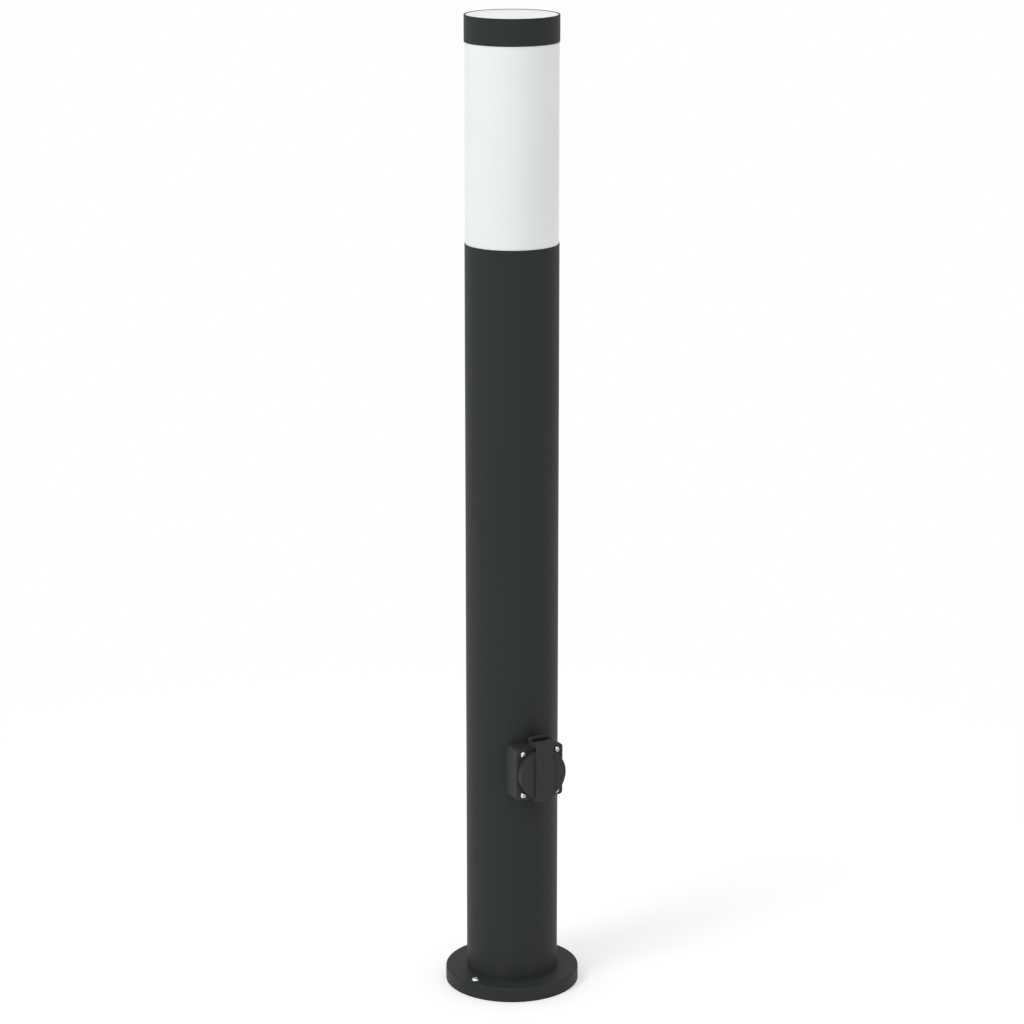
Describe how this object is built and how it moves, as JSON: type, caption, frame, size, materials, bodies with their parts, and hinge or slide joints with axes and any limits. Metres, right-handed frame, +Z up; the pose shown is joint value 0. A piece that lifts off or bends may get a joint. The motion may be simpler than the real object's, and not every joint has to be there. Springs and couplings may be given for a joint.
{
  "type": "garden socket post",
  "caption": "Round powder-coated garden post with an opal lamp head, a flap-lid mains socket low on its front and a round screw-down foot.",
  "frame": {"origin": "centre of the foot's underside, on the axis of the tube, at ground level", "axes": "+Z up along the tube, -Y the way the socket faces, +X to the right of someone who faces the socket"},
  "size_m": [0.11, 0.1145, 0.8],
  "materials": {
    "powder_coat": "fine-textured anthracite powder coat",
    "socket_plastic": "satin moulded black plastic",
    "opal_plastic": "satin opal acrylic",
    "zinc_steel": "zinc-plated sheet",
    "stainless": "bright stainless fasteners",
    "brass": "bare brass contacts",
    "nickel": "nickel-plated pressed metal",
    "spring_steel": "spring steel",
    "rubber": "moulded rubber",
    "lead_sheath": "flexible sheathed lead",
    "connector_plastic": "natural polyamide",
    "carrier_plastic": "dark grey thermoset",
    "porcelain": "glazed porcelain",
    "lamp_plastic": "white thermoplastic",
    "lamp_opal": "frosted opal dome"
  },
  "bodies": {
    "post": {"base_flange": "powder_coat", "mounting_bracket": "zinc_steel", "base_screws": "stainless", "cable_grommet": "rubber", "post_tube": "powder_coat", "terminal_carrier": "zinc_steel", "terminal_block": "connector_plastic", "terminal_sleeves": "brass", "terminal_screws": "stainless", "block_screws": "stainless", "earth_screw": "stainless", "lamp_lead": "lead_sheath", "socket_lead": "lead_sheath", "lamp_plate": "zinc_steel", "lampholder": "porcelain", "holder_nut": "zinc_steel", "holder_shell": "nickel", "holder_contact": "brass", "head_seat": "socket_plastic", "head_seal": "rubber", "socket_housing": "socket_plastic", "socket_gasket": "rubber", "socket_carrier": "carrier_plastic", "pin_contacts": "brass", "earth_clip": "nickel", "carrier_screw": "stainless", "socket_screws": "stainless", "hinge_pin": "stainless", "lid_spring": "spring_steel"},
    "lid": {"lid": "socket_plastic", "lid_seal": "rubber"},
    "head": {"diffuser": "opal_plastic", "cap_ring": "powder_coat"},
    "lamp": {"bulb_base": "nickel", "bulb_tip": "brass", "bulb_body": "lamp_plastic", "bulb_globe": "lamp_opal"}
  },
  "joints": [
    {"name": "lid_hinge", "type": "hinge", "parent": "post", "child": "lid", "pos_m": [0, -0.055, 0.2218], "axis": [-1, 0, 0], "range_deg": [0, 105], "stiffness_Nm_per_rad": 0.03, "springref_deg": -28.65, "deforming": ["lid_spring"]},
    {"name": "head_lift", "type": "slide", "parent": "post", "child": "head", "axis": [0, 0, 1], "range_m": [0, 0.095]},
    {"name": "lamp_out", "type": "slide", "parent": "post", "child": "lamp", "axis": [0, 0, 1], "range_m": [0, 0.03]}
  ]
}
